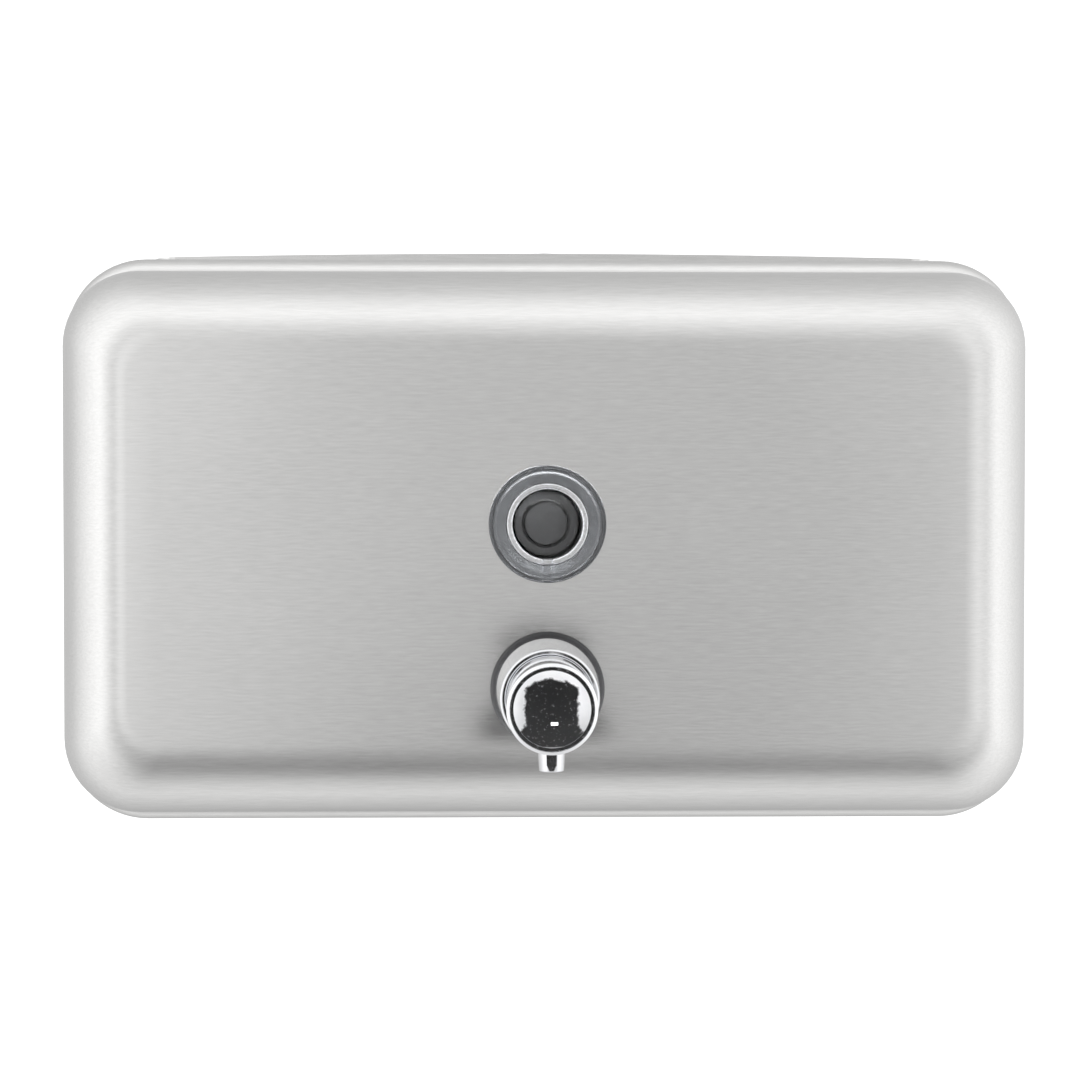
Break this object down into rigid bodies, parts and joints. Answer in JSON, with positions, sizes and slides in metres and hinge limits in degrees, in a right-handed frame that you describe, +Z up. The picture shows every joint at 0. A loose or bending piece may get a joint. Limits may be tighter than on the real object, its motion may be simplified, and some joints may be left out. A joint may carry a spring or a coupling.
{
  "type": "wall mounted soap dispenser",
  "caption": "Horizontal brushed steel liquid soap tank for a washroom wall, with a push-in pump valve, a round refill window and a hinged locking filler lid.",
  "frame": {"origin": "centre of the face of the wall bracket that lies on the wall", "axes": "+X to the right as seen from the room, +Y into the wall, +Z up"},
  "size_m": [0.2088, 0.1133, 0.1273],
  "materials": {
    "satin_steel": "satin, fine horizontal brushing",
    "plain_steel": "mill",
    "chrome": "polished",
    "clear_plastic": "clear, moulded",
    "black_rubber": "matt",
    "grey_plastic": "moulded",
    "clear_tube": "translucent",
    "spring_steel": "drawn wire"
  },
  "bodies": {
    "tank": {"wall_bracket": "plain_steel", "bracket_screw": "plain_steel", "hanger": "plain_steel", "back_plate": "plain_steel", "rear_shell": "satin_steel", "front_shell": "satin_steel", "hinge_leaf": "plain_steel", "hinge_pin": "plain_steel", "filler_gasket": "black_rubber", "lock_strike": "plain_steel", "sight_window": "clear_plastic", "window_gasket": "black_rubber", "window_nut": "grey_plastic", "valve_collar": "chrome", "valve_gasket": "black_rubber", "valve_cylinder": "grey_plastic", "valve_washer": "black_rubber", "valve_nut": "grey_plastic", "suction_elbow": "grey_plastic", "inlet_seat": "grey_plastic", "suction_tube": "clear_tube", "return_spring": "spring_steel"},
    "button": {"push_button": "chrome", "piston_stem": "grey_plastic", "piston_seal": "black_rubber", "nozzle": "chrome", "outlet_valve": "black_rubber"},
    "lid": {"filler_lid": "satin_steel", "lock_body": "chrome", "lock_nut": "plain_steel"},
    "lock": {"lock_core": "chrome", "lock_cam": "plain_steel", "cam_screw": "plain_steel"},
    "ball": {"inlet_ball": "chrome"}
  },
  "joints": [
    {"name": "button_press", "type": "slide", "parent": "tank", "child": "button", "axis": [0, 1, 0], "range_m": [0, 0.01], "stiffness_N_per_m": 250, "springref_m": -0.008, "deforming": ["return_spring"]},
    {"name": "lid_hinge", "type": "hinge", "parent": "tank", "child": "lid", "pos_m": [0, -0.0045, 0.0634], "axis": [-1, 0, 0], "range_deg": [0, 95]},
    {"name": "lock_turn", "type": "hinge", "parent": "lid", "child": "lock", "pos_m": [0, -0.026, 0.0641], "axis": [0, 0, -1], "range_deg": [0, 90]},
    {"name": "ball_lift", "type": "slide", "parent": "tank", "child": "ball", "axis": [0, 0, 1], "range_m": [0, 0.0015]}
  ]
}
